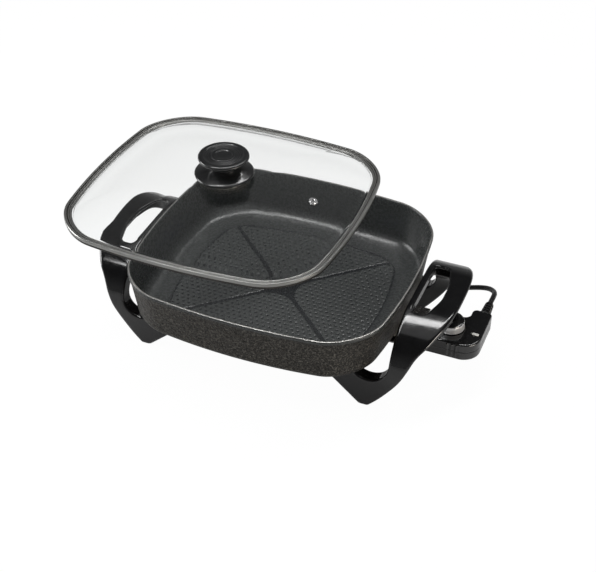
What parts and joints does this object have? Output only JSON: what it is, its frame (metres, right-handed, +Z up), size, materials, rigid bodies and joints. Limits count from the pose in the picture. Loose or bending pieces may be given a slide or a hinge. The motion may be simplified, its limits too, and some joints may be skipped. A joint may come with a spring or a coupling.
{
  "type": "electric skillet",
  "caption": "Square electric skillet on leg-and-handle mouldings, with a lift-off domed glass lid, a plug-in temperature control with a dial, and a mains cord.",
  "frame": {"origin": "on the table, under the middle of the pan", "axes": "+X towards the plug-in control, +Y towards the back, +Z up"},
  "size_m": [0.4998, 0.4506, 0.2457],
  "materials": {
    "nonstick": "dark nonstick coating, hammered outside",
    "element_steel": "dull sheath",
    "plated_steel": "bright",
    "ceramic": "matte ceramic",
    "sheet_steel": "polished stainless",
    "fastener_steel": "zinc plated",
    "black_moulding": "gloss",
    "clear_glass": "clear tempered",
    "pale_seal": "silicone",
    "knob_black": "satin gloss",
    "brass_insert": "machined",
    "contact_brass": "plated",
    "brown_phenolic": "matte",
    "lamp_orange": "clear",
    "lens_white": "gloss",
    "cord_black": "satin",
    "tie_black": "matte",
    "dial_silver": "satin silver",
    "dial_black": "satin"
  },
  "bodies": {
    "base": {"pan": "nonstick", "heating_element": "element_steel", "terminal_pins": "plated_steel", "terminal_insulators": "ceramic", "probe_well": "plated_steel", "terminal_guard": "sheet_steel", "guard_screws": "fastener_steel", "left_handle": "black_moulding", "right_handle": "black_moulding", "left_handle_screws": "fastener_steel", "right_handle_screws": "fastener_steel", "left_handle_washers": "fastener_steel", "right_handle_washers": "fastener_steel"},
    "lid": {"lid_glass": "clear_glass", "lid_rim_band": "sheet_steel", "steam_vent": "plated_steel", "knob_seal": "pale_seal", "knob_base": "knob_black", "knob_top": "knob_black", "knob_screw": "fastener_steel", "knob_insert": "brass_insert", "knob_washer": "fastener_steel"},
    "control": {"control_top": "black_moulding", "control_base": "black_moulding", "probe_rod": "plated_steel", "contact_sleeves": "contact_brass", "terminal_block": "brown_phenolic", "thermostat_switch": "brown_phenolic", "neon_lamp": "lamp_orange", "pilot_lens": "lens_white", "control_screws": "fastener_steel", "cord_clamp": "sheet_steel", "strain_relief": "cord_black", "power_cord": "cord_black", "cord_coil": "cord_black", "coil_tie": "tie_black", "plug_body": "cord_black", "plug_blades": "contact_brass"},
    "dial": {"dial_ring": "dial_silver", "dial_cap": "dial_black", "dial_shaft": "fastener_steel", "dial_pointer": "lens_white"}
  },
  "joints": [
    {"name": "lid_lift", "type": "slide", "parent": "base", "child": "lid", "axis": [-0.7373, -0.1264, 0.6636], "range_m": [-0.0949, 0.04]},
    {"name": "control_pull", "type": "slide", "parent": "base", "child": "control", "axis": [1, 0, 0], "range_m": [0, 0.1]},
    {"name": "dial_turn", "type": "hinge", "parent": "control", "child": "dial", "pos_m": [0.218, 0, 0.066], "axis": [0, 0, 1], "range_deg": [-40, 260]}
  ]
}
